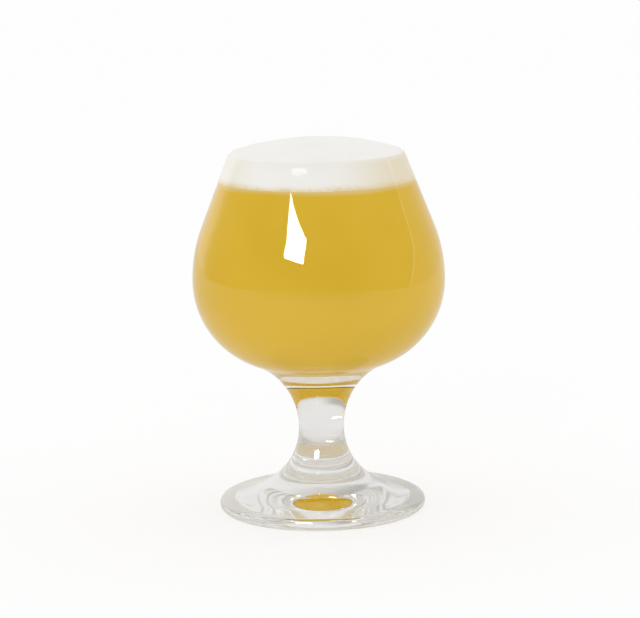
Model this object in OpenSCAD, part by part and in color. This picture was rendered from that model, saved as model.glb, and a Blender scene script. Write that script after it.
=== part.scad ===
// Short-stemmed beer glass with a round bowl that narrows to the mouth,
// shown full of beer under a domed head of foam. The glass is three pieces fused
// on flat faces: a blown bowl, a pressed stem and a pressed foot.
// Millimetres, +Z up, origin on the table under the middle of the foot.
// Each piece is a half section, drawn from the axis outwards and turned once.

/* [Bowl] */
// Height of the belly, the widest place, above the table
belly_z = 82.4; // [76:0.2:90]
// Height of the rim above the belly
top_h = 44.6; // [40:0.2:50]
// Largest outside diameter, at the belly
belly_d = 88.8; // [82:0.2:95]
// Outside diameter across the lip
rim_d = 62; // [57:0.2:68]
// Radius of the outside curve from the belly up to the straight upper wall
shoulder_r = 52; // [47:0.5:56]
// Radius of the outside curve from the belly down to the stem
lower_r = 31.4; // [28:0.2:35]
// Thickness of the wall, and the diameter of the fire-polished lip
wall = 1.8; // [1.4:0.1:2.6]
// Thickness of the glass under the beer
bottom_t = 1.8; // [1.4:0.1:3.2]

/* [Stem] */
// Diameter at the waist, the thinnest place
waist_d = 16; // [13:0.2:20]
// Height of the waist above the table
waist_z = 29.4; // [26:0.2:32]
// Depth of the solid collar that the bowl keeps below its round bottom
collar_h = 1.2; // [0.8:0.1:3]
// Height of the joint between stem and foot above the table
foot_joint_z = 14; // [11:0.2:18]

/* [Foot] */
// Diameter of the foot
foot_d = 73; // [66:0.5:80]
// Radius of the foot's rounded edge
edge_r = 2.4; // [1.8:0.1:3.2]
// Slope of the foot's upper face in degrees
foot_slope = 13.5; // [11:0.5:16]
// Radius that eases the upper face into the edge
ease_r = 20; // [14:1:26]
// How far that easing lowers the face at the edge
ease_drop = 0.4; // [0.2:0.1:0.7]
// Inner diameter of the flat ring that the glass stands on
ring_d = 60; // [52:0.5:64]
// Height of the conical hollow inside that ring
kick_h = 3.1; // [2:0.1:4.5]
// Radius of the hollow's rounded tip
tip_r = 30; // [20:1:45]

/* [Fill] */
// Depth of the beer's surface below the rim
fill_gap = 10; // [5:0.5:30]
// Height of the foam's dome above the rim
crown_h = 5.4; // [3:0.1:9]
// Radius of the dome's rounded edge, where it rises from the lip
crown_edge_r = 1.2; // [0.8:0.1:2.5]

/* [Hidden] */
$fn = 180;

glass_colour = [0.86, 0.89, 0.88, 0.45];
beer_colour = [0.84, 0.69, 0.23];
foam_colour = [0.95, 0.94, 0.92];

// How far shapes that are joined or cut reach past each other
lap = 2;
// How far one curve bites into the next where the two run on smoothly
bite = 0.01;

belly_r = belly_d / 2;
waist_r = waist_d / 2;
rim_z = belly_z + top_h;
beer_z = rim_z - fill_gap;

// Lip: a full round between the two faces of the wall
lip_r = wall / 2;
lip_c = [rim_d / 2 - lip_r, rim_z - lip_r];

// Upper wall: straight, tangent to the shoulder's curve, and leaning in to the lip
shoulder_c = [belly_r - shoulder_r, belly_z];
lip_off = lip_c - shoulder_c;
lean = atan2(lip_off.y, lip_off.x) - acos((shoulder_r - lip_r) / norm(lip_off));
wall_out = [cos(lean), sin(lean)];

// Room inside the bowl: its lower curve leaves the bottom its own thickness
room_low_r = lower_r - bottom_t;
room_end = lip_c - (lip_r - bite) * wall_out;

// Upper flare of the stem: upright at the waist and tangent to the bowl's lower curve
lower_c = [belly_r - lower_r, belly_z];
blend_r = lower_r - bite;
flare_gap = waist_r - lower_c.x;
rise = belly_z - waist_z;
upper_flare_r = (flare_gap ^ 2 + rise ^ 2 - blend_r ^ 2) / (2 * (blend_r - flare_gap));
upper_flare_c = [waist_r + upper_flare_r, waist_z];
blend_z = belly_z - rise * blend_r / (blend_r + upper_flare_r);

// Joint between bowl and stem, a flat disc just below the bowl's round bottom
bowl_joint_z = belly_z - lower_r - collar_h;

// Upper face of the foot: a slope that passes face_h above the middle of the round edge
edge_c = [foot_d / 2 - edge_r, edge_r];
face_h = edge_r + ease_drop;
face_out = [sin(foot_slope), cos(foot_slope)];
face_up = [-cos(foot_slope), sin(foot_slope)];

// Lower flare of the stem: upright at the waist and tangent to the foot's upper face
flare_h = face_h - bite;
lower_flare_r = (([waist_r, waist_z] - edge_c) * face_out - flare_h) / (1 - face_out.x);
lower_flare_c = [waist_r + lower_flare_r, waist_z];
flare_end = lower_flare_c - lower_flare_r * face_out;
face_top = flare_end + bite * face_out + lap * face_up;

// Easing: an arc tangent to the foot's upper face and to its round edge
ease_h = face_h + bite;
ease_edge_r = edge_r - bite;
ease_run = sqrt((ease_h - ease_edge_r) * (2 * ease_r - ease_edge_r - ease_h));
ease_start = edge_c + face_h * face_out + ease_run * face_up;
ease_c = ease_start - (ease_r - bite) * face_out;
ease_end = ease_c + (edge_c - ease_c) * ease_r / norm(edge_c - ease_c);

// Hollow under the foot: a shallow cone that rises from the ring to a rounded tip
ring_edge = [ring_d / 2, 0];
tip_c = [0, kick_h - tip_r];
ring_off = ring_edge - tip_c;
cone_turn = atan2(ring_off.y, ring_off.x) + acos(tip_r / norm(ring_off));
cone_top = tip_c + (tip_r - bite) * [cos(cone_turn), sin(cone_turn)];
cone_foot = ring_edge + (ring_edge - cone_top) * lap / cone_top.y;

// Dome of the foam: a large radius over a small one that stands on the lip's crest
crown_edge_c = [lip_c.x - crown_edge_r, rim_z];
crown_fit_r = crown_edge_r - bite;
crown_r = (crown_edge_c.x ^ 2 + crown_h ^ 2 - crown_fit_r ^ 2) / (2 * (crown_h - crown_fit_r));
crown_c = [0, rim_z + crown_h - crown_r];
crown_x = crown_edge_c.x * crown_r / norm(crown_edge_c - crown_c);

// Block of the half section from the axis to radius x, between two heights
module slab(z0, z1, x) {
  translate([0, z0])
    square([x, z1 - z0]);
}

// Disc of radius r around a point of the half section
module disc(c, r) {
  translate(c)
    circle(r);
}

// Part of a disc that lies between two radii and two heights
module disc_part(c, r, x0, x1, z0, z1) {
  intersection() {
    disc(c, r);
    translate([x0, z0])
      square([x1 - x0, z1 - z0]);
  }
}

// Half section of everything inside a face of the bowl that lies inset within the outside,
// up to the lip: low_r is the radius of its curve below the belly
module bowl_section(inset, low_r) {
  r = belly_r - inset;
  low_c = [r - low_r, belly_z];
  wall_start = shoulder_c + (shoulder_r - inset - bite) * wall_out;
  wall_end = lip_c + (lip_r - inset) * (1 - bite / lip_r) * wall_out;

  slab(belly_z - low_r, belly_z, low_c.x);
  disc_part(low_c, low_r, low_c.x, r + lap, 0, belly_z);
  disc_part(shoulder_c, shoulder_r - inset, 0, r + lap, belly_z, wall_end.y);
  polygon([[0, belly_z], wall_start, wall_end, [0, wall_end.y]]);
}

// Half section of the room inside the bowl
module bowl_room() {
  bowl_section(wall, room_low_r);
}

// Half section of the flare above the waist, between two heights
module upper_flare(z0, z1) {
  difference() {
    slab(z0, z1, upper_flare_c.x);
    disc(upper_flare_c, upper_flare_r);
  }
}

// Half section of the flare below the waist, between two heights
module lower_flare(z0, z1) {
  difference() {
    slab(z0, z1, flare_end.x);
    disc(lower_flare_c, lower_flare_r);
  }
}

// Bowl: blown shell with a round bottom, a straight leaning mouth and a round lip,
// and below its bottom a solid collar that runs on into the stem
module bowl() {
  color(glass_colour)
    rotate_extrude() {
      difference() {
        union() {
          bowl_section(0, lower_r);
          upper_flare(bowl_joint_z, blend_z);
        }
        bowl_room();
        slab(room_end.y - bite, rim_z, room_end.x);
      }
      disc(lip_c, lip_r);
    }
}

// Stem: solid, drawn in to the waist between two flares
module stem() {
  color(glass_colour)
    rotate_extrude() {
      upper_flare(waist_z, bowl_joint_z);
      lower_flare(foot_joint_z, waist_z);
    }
}

// Foot: pressed disc under the lower flare, with a round edge, standing on a flat ring
module foot() {
  color(glass_colour)
    rotate_extrude()
      difference() {
        union() {
          lower_flare(edge_r, foot_joint_z);
          polygon([[0, 0], [edge_c.x, 0], edge_c, ease_start, face_top, [0, face_top.y]]);
          disc_part(ease_c, ease_r, ease_start.x - lap, ease_end.x, edge_r, face_top.y);
          disc(edge_c, edge_r);
        }
        polygon([[0, -lap], cone_foot, cone_top, [0, cone_top.y]]);
        disc(tip_c, tip_r);
      }
}

// Beer: fills the bowl up to the level line
module beer() {
  color(beer_colour)
    rotate_extrude()
      intersection() {
        bowl_room();
        slab(0, beer_z, belly_r);
      }
}

// Foam head: fills the mouth above the beer and domes up from the crest of the lip
module foam_head() {
  color(foam_colour)
    rotate_extrude()
      difference() {
        union() {
          bowl_room();
          slab(room_end.y - bite, rim_z, lip_c.x - lip_r / 2);
          disc_part(crown_c, crown_r, 0, crown_x, beer_z, rim_z + crown_h + lap);
          disc_part(crown_edge_c, crown_edge_r, 0, lip_c.x + lap, room_end.y, rim_z + crown_h);
        }
        slab(0, beer_z, belly_r);
        disc(lip_c, lip_r);
      }
}

bowl();
stem();
foot();
beer();
foam_head();
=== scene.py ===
import math

import bmesh
import bpy
from mathutils import Matrix, Vector, noise


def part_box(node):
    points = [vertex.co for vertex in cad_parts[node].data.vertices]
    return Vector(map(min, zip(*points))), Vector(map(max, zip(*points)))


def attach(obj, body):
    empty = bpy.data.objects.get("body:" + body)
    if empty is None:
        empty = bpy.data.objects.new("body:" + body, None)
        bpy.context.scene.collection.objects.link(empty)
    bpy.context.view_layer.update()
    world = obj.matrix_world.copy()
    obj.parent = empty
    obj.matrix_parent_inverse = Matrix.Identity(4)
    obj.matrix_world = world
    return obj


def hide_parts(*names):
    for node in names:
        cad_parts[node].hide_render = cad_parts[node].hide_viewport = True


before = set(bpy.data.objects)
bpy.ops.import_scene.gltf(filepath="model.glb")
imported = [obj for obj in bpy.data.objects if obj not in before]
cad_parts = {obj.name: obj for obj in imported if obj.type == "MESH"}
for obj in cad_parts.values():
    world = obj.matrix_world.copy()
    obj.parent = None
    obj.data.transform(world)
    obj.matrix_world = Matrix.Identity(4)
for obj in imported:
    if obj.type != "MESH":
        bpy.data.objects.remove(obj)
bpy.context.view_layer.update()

# Foot: a pressed disc of clear glass with a sloping top and a fire-polished round edge.
# It stands on a flat ring round a shallow conical hollow, and its middle rises into the stem,
# to which it is fused while hot.

mm = 0.001
same_place = 0.001 * mm
crease_angle = math.radians(30)
glass_facets = 192
foot_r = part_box("foot")[1].x
foot_joint_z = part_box("stem")[0].z
edge_r = 2.4 * mm
foot_slope = math.radians(13.5)
ease_r = 20 * mm
ease_drop = 0.4 * mm
ring_r = 30 * mm
kick_h = 3.1 * mm
tip_r = 30 * mm
waist_r = 8 * mm
waist_z = 29.4 * mm

edge_c = Vector((foot_r - edge_r, edge_r))
face_h = edge_r + ease_drop
face_out = Vector((math.sin(foot_slope), math.cos(foot_slope)))
face_up = Vector((-math.cos(foot_slope), math.sin(foot_slope)))
ease_run = math.sqrt((face_h - edge_r) * (2 * ease_r - edge_r - face_h))
ease_start = edge_c + face_h * face_out + ease_run * face_up
ease_c = ease_start - ease_r * face_out
ease_turn = face_out.angle(edge_c - ease_c)
tip_c = Vector((0, kick_h - tip_r))
ring_off = Vector((ring_r, 0)) - tip_c
cone_turn = math.atan2(ring_off.x, ring_off.y) - math.acos(tip_r / ring_off.length)
low_flare_r = ((Vector((waist_r, waist_z)) - edge_c) @ face_out - face_h) / (1 - face_out.x)
low_flare_c = Vector((waist_r + low_flare_r, waist_z))
flare_end = low_flare_c - low_flare_r * face_out
joint_turn = math.asin((waist_z - foot_joint_z) / low_flare_r)


class HalfSection:
    """Half of a turned piece's section, drawn outwards from the axis and then spun round it."""

    def __init__(self, x, z):
        self.bm = bmesh.new()
        self.tip = self.bm.verts.new((x, 0, z))

    def line(self, x, z, steps=1):
        start = self.tip.co.copy()
        for step in range(1, steps + 1):
            made = bmesh.ops.extrude_vert_indiv(self.bm, verts=[self.tip])
            self.tip = made["verts"][0]
            self.tip.co = start.lerp((x, 0, z), step / steps)

    def arc(self, centre, turn, steps):
        made = bmesh.ops.spin(self.bm, geom=[self.tip], cent=(centre[0], 0, centre[1]),
                              axis=(0, -1, 0), angle=turn, steps=steps)
        self.tip = [v for v in made["geom_last"] if isinstance(v, bmesh.types.BMVert)][0]

    def turned(self, facets):
        section = self.bm.verts[:] + self.bm.edges[:]
        bmesh.ops.spin(self.bm, geom=section, cent=(0, 0, 0), axis=(0, 0, 1),
                       angle=2 * math.pi, steps=facets, use_merge=True)
        bmesh.ops.remove_doubles(self.bm, verts=self.bm.verts[:], dist=same_place)
        bmesh.ops.recalc_face_normals(self.bm, faces=self.bm.faces[:])
        return self.bm


class Flow:
    """A socket in a node tree: sums on it add Math nodes, and node() adds any other node."""

    def __init__(self, tree, socket=None):
        self.tree = tree
        self.socket = socket

    def node(self, kind, settings, sockets, output=0):
        made = self.tree.nodes.new("ShaderNode" + kind)
        for name, value in settings.items():
            setattr(made, name, value)
        for name, value in sockets.items():
            if isinstance(value, Flow):
                self.tree.links.new(value.socket, made.inputs[name])
            else:
                made.inputs[name].default_value = value
        return Flow(self.tree, made.outputs[output] if made.outputs else None)

    def maths(self, operation, a, b):
        return self.node("Math", {"operation": operation}, {0: a, 1: b})

    def __add__(self, other):
        return self.maths("ADD", self, other)

    def __radd__(self, other):
        return self.maths("ADD", other, self)

    def __sub__(self, other):
        return self.maths("SUBTRACT", self, other)

    def __rsub__(self, other):
        return self.maths("SUBTRACT", other, self)

    def __mul__(self, other):
        return self.maths("MULTIPLY", self, other)

    def __rmul__(self, other):
        return self.maths("MULTIPLY", other, self)

    def ramp(self, start, end):
        """0 at start and 1 at end, with a soft rise between them."""
        return self.node("MapRange", {"interpolation_type": "SMOOTHSTEP"},
                         {"Value": self, "From Min": start, "From Max": end})

    def tinted(self, low, high):
        """The colour low where this value is 0, and high where it is 1, by Mix's sockets for colour."""
        factor, first, second, mixed = 0, 6, 7, 2
        return self.node("Mix", {"data_type": "RGBA"}, {factor: self, first: low, second: high}, mixed)


def new_finish(name):
    """An empty material, and the flow that adds its nodes."""
    made = bpy.data.materials.new(name)
    made.use_nodes = True
    made.node_tree.nodes.clear()
    return made, Flow(made.node_tree)


def new_piece(name, bm, finishes, node):
    """A finished piece that takes the place of a node of the frame."""
    mesh = bpy.data.meshes.new(name)
    bm.to_mesh(mesh)
    bm.free()
    mesh.polygons.foreach_set("use_smooth", [True] * len(mesh.polygons))
    mesh.set_sharp_from_angle(angle=crease_angle)
    for finish in finishes:
        mesh.materials.append(finish)
    piece = bpy.data.objects.new(name, mesh)
    bpy.context.scene.collection.objects.link(piece)
    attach(piece, "root")
    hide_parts(node)


def mark_seam(bm, z):
    """Gives the flat faces at height z the second finish, which is the fused seam."""
    for face in bm.faces:
        if all(abs(v.co.z - z) < same_place for v in face.verts):
            face.material_index = 1


# Clear glass: the surface keeps the faint swell of hot glass and a trace of wiping haze.
# Lamps pass through it, so that what it holds is lit.
glass_ior = 1.52
clean_tint = (0.993, 0.996, 0.993, 1)
hazed_tint = (0.98, 0.984, 0.98, 1)
glass_shadow = (0.94, 0.945, 0.935, 1)
polish = 0.002
haze_roughness = 0.01

clear_glass, flow = new_finish("clear_glass")
place = flow.node("TexCoord", {}, {}, "Object")
swell = flow.node("TexNoise", {}, {"Vector": place, "Scale": 55.0, "Detail": 1.0}, "Fac")
haze = flow.node("TexNoise", {}, {"Vector": place, "Scale": 38.0, "Detail": 5.0}, "Fac")
wiped = haze.ramp(0.45, 0.75)
bump = flow.node("Bump", {}, {"Height": swell, "Strength": 0.07, "Distance": 0.06 * mm})
glass = flow.node("BsdfPrincipled", {}, {"Base Color": wiped.tinted(clean_tint, hazed_tint),
                                         "Roughness": polish + wiped * haze_roughness,
                                         "IOR": glass_ior, "Transmission Weight": 1.0, "Normal": bump})
lamp_path = flow.node("BsdfTransparent", {}, {"Color": glass_shadow})
shadow_ray = flow.node("LightPath", {}, {}, "Is Shadow Ray")
diffuse_ray = flow.node("LightPath", {}, {}, "Is Diffuse Ray")
passing = flow.maths("MAXIMUM", shadow_ray, diffuse_ray)
surface = flow.node("MixShader", {}, {0: passing, 1: glass, 2: lamp_path})
flow.node("OutputMaterial", {}, {"Surface": surface})

# Fused seam: where two pieces of hot glass have run together there is no surface left.
fused_seam, flow = new_finish("fused_seam")
flow.node("OutputMaterial", {}, {"Surface": flow.node("BsdfTransparent", {}, {})})

foot_half = HalfSection(0, kick_h)
foot_half.arc(tip_c, -cone_turn, steps=6)
foot_half.line(ring_r, 0, steps=20)
foot_half.line(edge_c.x, 0, steps=4)
foot_half.arc(edge_c, math.pi - foot_slope - ease_turn, steps=32)
foot_half.arc(ease_c, ease_turn, steps=10)
foot_half.line(*flare_end, steps=12)
foot_half.arc(low_flare_c, joint_turn + foot_slope - math.pi / 2, steps=28)
foot_half.line(0, foot_joint_z, steps=6)
foot_mesh = foot_half.turned(glass_facets)
mark_seam(foot_mesh, foot_joint_z)
new_piece("foot_glass", foot_mesh, [clear_glass, fused_seam], "foot")

# Stem: a solid column of the same glass, drawn in to a waist between two flares.
# The lower flare runs on into the foot and the upper one into the bowl, each fused on.

bowl_joint_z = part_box("bowl")[0].z
belly_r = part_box("bowl")[1].x
belly_z = 82.4 * mm
lower_r = 31.4 * mm

lower_c = Vector((belly_r - lower_r, belly_z))
flare_gap = waist_r - lower_c.x
rise = belly_z - waist_z
up_flare_r = (flare_gap ** 2 + rise ** 2 - lower_r ** 2) / (2 * (lower_r - flare_gap))
up_flare_c = Vector((waist_r + up_flare_r, waist_z))
collar_turn = math.asin((bowl_joint_z - waist_z) / up_flare_r)

stem_half = HalfSection(0, foot_joint_z)
stem_half.line(low_flare_c.x - low_flare_r * math.cos(joint_turn), foot_joint_z, steps=6)
stem_half.arc(low_flare_c, -joint_turn, steps=36)
stem_half.arc(up_flare_c, -collar_turn, steps=48)
stem_half.line(0, bowl_joint_z, steps=6)
stem_mesh = stem_half.turned(glass_facets)
mark_seam(stem_mesh, foot_joint_z)
mark_seam(stem_mesh, bowl_joint_z)
new_piece("stem_glass", stem_mesh, [clear_glass, fused_seam], "stem")

# Bowl: a blown shell of clear glass, round at the belly, with a straight wall that leans in
# to a fire-polished lip. Below its round bottom it keeps a solid collar, fused to the stem.

wall = 1.8 * mm
bottom_t = 1.8 * mm
shoulder_r = 52 * mm
rim_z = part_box("bowl")[1].z
rim_r = 31 * mm

lip_r = wall / 2
lip_c = Vector((rim_r - lip_r, rim_z - lip_r))
shoulder_c = Vector((belly_r - shoulder_r, belly_z))
lip_off = lip_c - shoulder_c
lean = math.atan2(lip_off.y, lip_off.x) - math.acos((shoulder_r - lip_r) / lip_off.length)
wall_out = Vector((math.cos(lean), math.sin(lean)))
blend_turn = math.asin(rise / (lower_r + up_flare_r))
room_low_r = lower_r - bottom_t
room_low_c = Vector((belly_r - wall - room_low_r, belly_z))
room_z = belly_z - room_low_r

bowl_half = HalfSection(0, bowl_joint_z)
bowl_half.line(up_flare_c.x - up_flare_r * math.cos(collar_turn), bowl_joint_z, steps=6)
bowl_half.arc(up_flare_c, collar_turn - blend_turn, steps=12)
bowl_half.arc(lower_c, blend_turn, steps=56)
bowl_half.arc(shoulder_c, lean, steps=24)
bowl_half.line(*(lip_c + lip_r * wall_out), steps=16)
bowl_half.arc(lip_c, math.pi, steps=24)
bowl_half.line(*(shoulder_c + (shoulder_r - wall) * wall_out), steps=16)
bowl_half.arc(shoulder_c, -lean, steps=24)
bowl_half.arc(room_low_c, -math.pi / 2, steps=56)
bowl_half.line(0, room_z, steps=6)
bowl_mesh = bowl_half.turned(glass_facets)
mark_seam(bowl_mesh, bowl_joint_z)
new_piece("bowl_glass", bowl_mesh, [clear_glass, fused_seam], "bowl")

# Beer: hazy golden beer that wets the whole inside of the bowl up to the level line.
# It is set a hair into the wall, so that no film of air is left between beer and glass.

wetting = 0.05 * mm
beer_facets = 160
beer_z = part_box("beer")[1].z
lean_r = (shoulder_r - wall + wetting) / math.cos(lean) + shoulder_c.x
level_r = lean_r - (beer_z - belly_z) * math.tan(lean)

# Hazy beer: yeast clouds it, and it is paler with rising bubbles just under the foam.
# Where it is seen at a low angle through the glass, its wall mirrors what is round the bowl.
beer_ior = 1.345
deep_gold = (0.73, 0.455, 0.018, 1)
pale_gold = (0.785, 0.49, 0.03, 1)
bubbly_gold = (0.82, 0.68, 0.40, 1)
mirrored_gold = (0.95, 0.9, 0.78, 1)
beer_shadow = (0.62, 0.42, 0.07, 1)
cloud_share, yeast_share = 0.8, 0.2
cloud_sway = 3 * mm
bubbly_share = 0.55

hazy_beer, flow = new_finish("hazy_beer")
place = flow.node("TexCoord", {}, {}, "Object")
height = flow.node("SeparateXYZ", {}, {0: place}, "Z")
cloud = flow.node("TexNoise", {}, {"Vector": place, "Scale": 28.0, "Detail": 2.0}, "Fac")
yeast = flow.node("TexNoise", {}, {"Vector": place, "Scale": 900.0, "Detail": 1.0}, "Fac")
hazy = cloud.ramp(0.3, 0.7) * cloud_share + yeast * yeast_share
gold = hazy.tinted(deep_gold, pale_gold)
uneven_z = height + (cloud - 0.5) * cloud_sway
rising = uneven_z.ramp(beer_z - 1.6 * mm, beer_z + 0.4 * mm) * bubbly_share
liquid = flow.node("BsdfPrincipled", {}, {"Base Color": rising.tinted(gold, bubbly_gold),
                                          "Roughness": 0.5, "Specular IOR Level": 0.0})
mirror = flow.node("BsdfAnisotropic", {}, {"Color": mirrored_gold, "Roughness": 0.0})
grazing = flow.node("Fresnel", {}, {"IOR": beer_ior / glass_ior})
wetted = flow.node("MixShader", {}, {0: grazing, 1: liquid, 2: mirror})
lamp_path = flow.node("BsdfTransparent", {}, {"Color": beer_shadow})
shadow_ray = flow.node("LightPath", {}, {}, "Is Shadow Ray")
surface = flow.node("MixShader", {}, {0: shadow_ray, 1: wetted, 2: lamp_path})
flow.node("OutputMaterial", {}, {"Surface": surface})

beer_half = HalfSection(0, room_z - wetting)
beer_half.line(room_low_c.x, room_z - wetting, steps=6)
beer_half.arc(room_low_c, math.pi / 2, steps=56)
beer_half.arc(shoulder_c, lean, steps=24)
beer_half.line(level_r, beer_z, steps=12)
beer_half.line(0, beer_z, steps=8)
new_piece("beer_fill", beer_half.turned(beer_facets), [hazy_beer], "beer")

# Foam head: fine white froth that fills the mouth above the beer and domes over the lip.
# It is wet and golden where it meets the beer, and dries to an uneven top.

foam_facets = 224
crown_edge_r = 1.2 * mm
crown_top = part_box("foam_head")[1].z
froth_lift = 0.25 * mm
broad_lumps, small_lumps = 160, 420
broad_share, small_share = 0.7, 0.3

crown_h = crown_top - rim_z
crown_edge_c = Vector((lip_c.x - crown_edge_r, rim_z))
crown_r = (crown_edge_c.x ** 2 + crown_h ** 2 - crown_edge_r ** 2) / (2 * (crown_h - crown_edge_r))
crown_c = Vector((0, crown_top - crown_r))
crown_turn = math.atan2(crown_edge_c.y - crown_c.y, crown_edge_c.x)

# Froth: bubbles of two sizes. It is matt on the dome. Seen through the wall below the rim it has
# painted light that makes it whiter, and painted shade of warm ivory inside the mouth, mostly on the
# right, away from the window. It is cream along a ragged line at the beer.
matt_white = (0.865, 0.85, 0.815, 1)
clean_white = (0.905, 0.89, 0.86, 1)
# Painted light: this white brightens the froth seen through the wall below the rim.
painted_light_white = (0.985, 0.965, 0.925, 1)
# Painted shade: this warm ivory darkens the froth inside the mouth, mostly on the right.
painted_shade_ivory = (0.83, 0.70, 0.45, 1)
wet_cream = (0.79, 0.56, 0.155, 1)
drift_sway, bubble_sway = 2 * mm, 1.4 * mm
mean_bubble = 0.45
shade_right_share, shade_left_share = 0.8, 0.25
painted_light_share = 0.95
fine_share, coarse_share = 0.6, 0.4
froth_roughness, bubble_roughness = 0.55, 0.3

beer_froth, flow = new_finish("beer_froth")
place = flow.node("TexCoord", {}, {}, "Object")
side = flow.node("SeparateXYZ", {}, {0: place}, "X")
height = flow.node("SeparateXYZ", {}, {0: place}, "Z")
drift = flow.node("TexNoise", {}, {"Vector": place, "Scale": 90.0, "Detail": 3.0}, "Fac")
fine = flow.node("TexVoronoi", {}, {"Vector": place, "Scale": 2600.0}, "Distance")
coarse = flow.node("TexVoronoi", {}, {"Vector": place, "Scale": 800.0}, "Distance")
mixed_bubbles = coarse * 0.5 + fine * 0.5
ragged_z = height + (drift - 0.5) * drift_sway + (mixed_bubbles - mean_bubble) * bubble_sway
wet = 1 - ragged_z.ramp(beer_z - 1.4 * mm, beer_z + 2.3 * mm)
# Painted shade inside the mouth, mostly on the right, away from the window.
one_side = side.ramp(2 * mm, 33 * mm) * shade_right_share + side.ramp(-18 * mm, -32 * mm) * shade_left_share
painted_shade_mask = height.ramp(rim_z + 0.5 * mm, rim_z - 2.5 * mm) * one_side
# Painted light on the froth seen through the wall below the rim.
painted_light_mask = height.ramp(rim_z + 1 * mm, rim_z - 0.5 * mm) * painted_light_share
dry = painted_light_mask.tinted(drift.tinted(matt_white, clean_white), painted_light_white)
shaded_froth = painted_shade_mask.tinted(dry, painted_shade_ivory)
bubbles = fine * fine_share + coarse * coarse_share
bump = flow.node("Bump", {}, {"Height": bubbles, "Strength": 0.3, "Distance": 0.15 * mm})
foam = flow.node("BsdfPrincipled", {}, {"Base Color": wet.tinted(shaded_froth, wet_cream),
                                        "Roughness": froth_roughness + bubbles * bubble_roughness,
                                        "Specular IOR Level": 0.2, "Normal": bump})
flow.node("OutputMaterial", {}, {"Surface": foam})

foam_half = HalfSection(0, beer_z)
foam_half.line(level_r, beer_z, steps=12)
foam_half.line(*(lip_c - (lip_r - wetting) * wall_out), steps=12)
foam_half.arc(lip_c, -math.pi / 2 - lean, steps=16)
foam_half.line(lip_c.x, rim_z)
foam_half.arc(crown_edge_c, crown_turn, steps=16)
foam_half.arc(crown_c, math.pi / 2 - crown_turn, steps=60)
foam_mesh = foam_half.turned(foam_facets)
for v in foam_mesh.verts:
    free = min(max((v.co.z - rim_z) / crown_edge_r, 0), 1)
    broad = noise.noise(v.co * broad_lumps) * broad_share
    small = noise.noise(v.co * small_lumps) * small_share
    v.co.z += froth_lift * free * (broad + small - 1)
new_piece("foam_head_froth", foam_mesh, [beer_froth], "foam_head")

# Studio: a white table that runs back out of sight, in a plain pale room that is dim behind
# the camera. A tall window to the left of the camera is mirrored in the bowl, and two soft
# lamps and the room light the glass.

table_left, table_right = -1.03, 0.75
table_front, table_back = -1.11, 8.0
table_glow = 0.6

table_mesh = bpy.data.meshes.new("table")
bm = bmesh.new()
bmesh.ops.create_grid(bm, x_segments=1, y_segments=1, size=0.5)
bmesh.ops.scale(bm, verts=bm.verts[:], vec=(table_right - table_left, table_back - table_front, 1))
bmesh.ops.translate(bm, verts=bm.verts[:],
                    vec=((table_left + table_right) / 2, (table_front + table_back) / 2, 0))
bm.to_mesh(table_mesh)
bm.free()

# What the glass shows of the table is painted light and shade. Mirrored, it has painted shade that
# makes it darker towards the camera. Through the foot, it has painted shade round the foot, a painted
# pool of golden light in the middle, below the beer, painted shade on the right, away from the window,
# and painted light at the front.
white = (1, 1, 1, 1)
painted_white = (0.95, 0.95, 0.95, 1)
dim_grey = (0.36, 0.35, 0.34, 1)
mirrored_white = (0.79, 0.78, 0.76, 1)
open_ground = (0.775, 0.768, 0.77, 1)
# Painted shade: the table is darker round the foot.
painted_foot_shade = (0.72, 0.71, 0.69, 1)
# Painted light: a golden pool under the middle of the foot, below the beer.
painted_golden_light = (0.80, 0.72, 0.57, 1)
# Painted shade under the right of the foot, away from the window.
shaded_ground = (0.54, 0.53, 0.505, 1)
# Painted light: the table is lighter under the front of the foot.
painted_front_light = (0.88, 0.87, 0.86, 1)

table_white, flow = new_finish("table_white")
camera_ray = flow.node("LightPath", {}, {}, "Is Camera Ray")
glossy_ray = flow.node("LightPath", {}, {}, "Is Glossy Ray")
through_ray = flow.node("LightPath", {}, {}, "Is Transmission Ray")
place = flow.node("TexCoord", {}, {}, "Object")
side = flow.node("SeparateXYZ", {}, {0: place}, "X")
depth = flow.node("SeparateXYZ", {}, {0: place}, "Y")
reach = flow.node("VectorMath", {"operation": "LENGTH"}, {0: place}, "Value")
# Painted shade: a dark patch under the right of the foot.
painted_right_shade = side.ramp(6 * mm, 24 * mm) * reach.ramp(50 * mm, 38 * mm)
# Painted shade: the table is darker round the foot.
ground = reach.ramp(55 * mm, 35 * mm).tinted(open_ground, painted_foot_shade)
# Painted light: a golden pool under the middle of the foot.
ground = reach.ramp(26 * mm, 16 * mm).tinted(ground, painted_golden_light)
ground = painted_right_shade.tinted(ground, shaded_ground)
# Painted light at the front of the foot.
ground = depth.ramp(-8 * mm, -28 * mm).tinted(ground, painted_front_light)
# Painted shade: mirrored, the table is darker towards the camera.
mirrored = depth.ramp(-1.2, -0.2).tinted(dim_grey, mirrored_white)
table_colour = through_ray.tinted(glossy_ray.tinted(painted_white, mirrored), ground)
paint = flow.node("BsdfPrincipled", {}, {"Base Color": table_colour, "Roughness": 1.0,
                                         "Specular IOR Level": 0.0})
glow = flow.node("Emission", {}, {"Color": white, "Strength": 1.0})
surface = flow.node("MixShader", {}, {0: camera_ray * table_glow, 1: paint, 2: glow})
flow.node("OutputMaterial", {}, {"Surface": surface})
table_mesh.materials.append(table_white)
table = bpy.data.objects.new("table", table_mesh)
bpy.context.scene.collection.objects.link(table)

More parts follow.
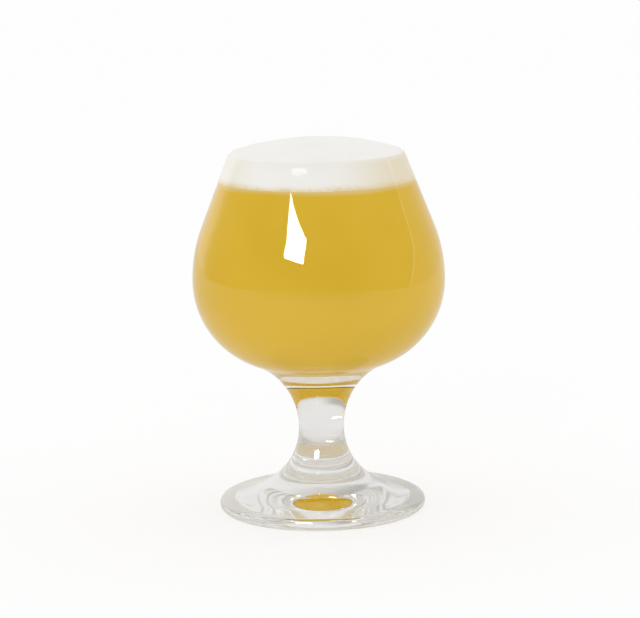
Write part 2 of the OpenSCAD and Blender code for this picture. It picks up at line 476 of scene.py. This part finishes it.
# The window is a tall pane that shows in the bowl, with a pale band of light above it that the
# mouth mirrors. Both are outlined by azimuth and elevation, in degrees, as seen from the bowl.
# Azimuth is 0 towards the camera and less than 0 to the left of it.
window_from = Vector((0, -0.04, 0.105))
window_distance = 2.0
edge_steps = 6
window_corners = [(-34.2, 34.46), (-16, 34.53), (-12.6, 34.4), (-14.4, 16.9), (-33.6, 20.4)]
band_corners = [(-35, 35.14), (-25, 36.07), (-14, 36.74), (-14, 36.5), (-25, 35.85), (-35, 34.95)]


def new_pane(name, corners, cast, mirrored):
    """A pane of daylight, with one strength for what it lights and one for how it is mirrored."""
    bm = bmesh.new()
    outline = []
    for start, end in zip(corners, corners[1:] + corners[:1]):
        for step in range(edge_steps):
            azimuth, elevation = Vector(start).lerp(Vector(end), step / edge_steps)
            aside = Matrix.Rotation(math.radians(azimuth), 3, "Z")
            raised = Matrix.Rotation(math.radians(-elevation), 3, "X")
            away = aside @ raised @ Vector((0, -window_distance, 0))
            outline.append(bm.verts.new(window_from + away))
    bmesh.ops.contextual_create(bm, geom=outline)
    mesh = bpy.data.meshes.new(name)
    bm.to_mesh(mesh)
    bm.free()
    daylight, flow = new_finish(name)
    glossy_ray = flow.node("LightPath", {}, {}, "Is Glossy Ray")
    cast_light = flow.node("Emission", {}, {"Strength": cast})
    mirrored_light = flow.node("Emission", {}, {"Strength": mirrored})
    surface = flow.node("MixShader", {}, {0: glossy_ray, 1: cast_light, 2: mirrored_light})
    flow.node("OutputMaterial", {}, {"Surface": surface})
    mesh.materials.append(daylight)
    pane = bpy.data.objects.new(name, mesh)
    pane.visible_camera = False
    bpy.context.scene.collection.objects.link(pane)


new_pane("window", window_corners, cast=2, mirrored=30)
new_pane("window_band", band_corners, cast=0, mirrored=5)


def new_light(name, strength, spread, azimuth, elevation):
    """A lamp as wide as its spread in degrees, which doesn't show in the glass itself."""
    made = bpy.data.lights.new(name, "SUN")
    made.energy = strength
    made.angle = math.radians(spread)
    light = bpy.data.objects.new(name, made)
    light.rotation_euler = (math.radians(90 - elevation), 0, math.radians(azimuth))
    light.visible_glossy = False
    light.visible_transmission = False
    bpy.context.scene.collection.objects.link(light)


new_light("top_light", strength=0.06, spread=60, azimuth=-8, elevation=60)
new_light("front_light", strength=0.45, spread=60, azimuth=0, elevation=8)

# The room lights the glass from all round, less from the camera's side. Mirrored, it has pale far
# walls, a bright line at its leaning right corner and a dim end behind the camera. Through the
# glass, it is a pale backdrop, dim high up on the left, and a dim wall on the camera's side.
# Its azimuth is in radians, and across, along and height are the parts of a direction of length 1.
plain_light = (1.1, 1.1, 1.1, 1)
camera_side_light = (0.55, 0.55, 0.55, 1)
left_wall = (1.0, 0.99, 0.98, 1)
right_wall = (0.72, 0.715, 0.71, 1)
ceiling = (0.64, 0.63, 0.62, 1)
corner_white = (1.5, 1.48, 1.45, 1)
pale_backdrop = (0.81, 0.805, 0.8, 1)
dim_backdrop = (0.45, 0.44, 0.42, 1)
camera_wall = (0.55, 0.54, 0.52, 1)
corner_azimuth = 1.65
corner_lean = 0.72
corner_blur = 0.01
corner_width = 0.03
corner_share, end_share = 0.55, 0.45

room = bpy.data.worlds.new("room")
room.use_nodes = True
room.node_tree.nodes.clear()
bpy.context.scene.world = room
flow = Flow(room.node_tree)
camera_ray = flow.node("LightPath", {}, {}, "Is Camera Ray")
glossy_ray = flow.node("LightPath", {}, {}, "Is Glossy Ray")
through_ray = flow.node("LightPath", {}, {}, "Is Transmission Ray")
direction = flow.node("TexCoord", {}, {}, "Generated")
across = flow.node("SeparateXYZ", {}, {0: direction}, "X")
along = flow.node("SeparateXYZ", {}, {0: direction}, "Y")
height = flow.node("SeparateXYZ", {}, {0: direction}, "Z")
azimuth = flow.maths("ARCTAN2", across, along * -1)
upward = height.ramp(0.34, 0.85)

past_corner = azimuth - height * corner_lean
at_corner = past_corner.ramp(corner_azimuth - corner_blur, corner_azimuth + corner_blur)
past_end = azimuth.ramp(1.85, 2.6)
behind_camera = azimuth.ramp(-2.4, -2.05) - at_corner * corner_share - past_end * end_share
on_line = (past_corner.ramp(corner_azimuth - corner_width, corner_azimuth)
           - past_corner.ramp(corner_azimuth, corner_azimuth + corner_width))
mirrored = across.ramp(-0.8, 0.8).tinted(left_wall, right_wall)
mirrored = upward.tinted(mirrored, ceiling)
mirrored = behind_camera.tinted(mirrored, dim_grey)
mirrored = on_line.tinted(mirrored, corner_white)

high_left = across.ramp(0.1, -0.4) * height.ramp(0.2, 0.36)
camera_side = azimuth.ramp(-1.4, -0.8) - azimuth.ramp(0.8, 1.4)
refracted = upward.tinted(pale_backdrop, ceiling)
refracted = high_left.tinted(refracted, dim_backdrop)
refracted = camera_side.tinted(refracted, camera_wall)

lighting = along.ramp(-0.9, 0).tinted(camera_side_light, plain_light)
in_glass = through_ray.tinted(mirrored, refracted)
around = flow.maths("MAXIMUM", glossy_ray, through_ray).tinted(lighting, in_glass)
sky = flow.node("Background", {}, {"Color": camera_ray.tinted(around, white), "Strength": 1.0})
flow.node("OutputWorld", {}, {"Surface": sky})

# The camera has a long lens and the photograph's viewing angle: it looks a little down on the rim
# and is turned slightly in its frame.
camera_place = (0.00025, -0.8584, 0.2209)
look_down = math.radians(9.87)
frame_turn = math.radians(-1.04)

camera_data = bpy.data.cameras.new("camera")
camera_data.sensor_width = 36
camera_data.lens = 139.0
camera = bpy.data.objects.new("camera", camera_data)
tilt = Matrix.Rotation(math.pi / 2 - look_down, 4, "X") @ Matrix.Rotation(frame_turn, 4, "Z")
camera.matrix_world = Matrix.Translation(camera_place) @ tilt
scene = bpy.context.scene
scene.collection.objects.link(camera)
scene.camera = camera
scene.view_settings.view_transform = "Standard"
scene.cycles.max_bounces = 24
scene.cycles.transmission_bounces = 24
scene.cycles.glossy_bounces = 12
scene.cycles.transparent_max_bounces = 32
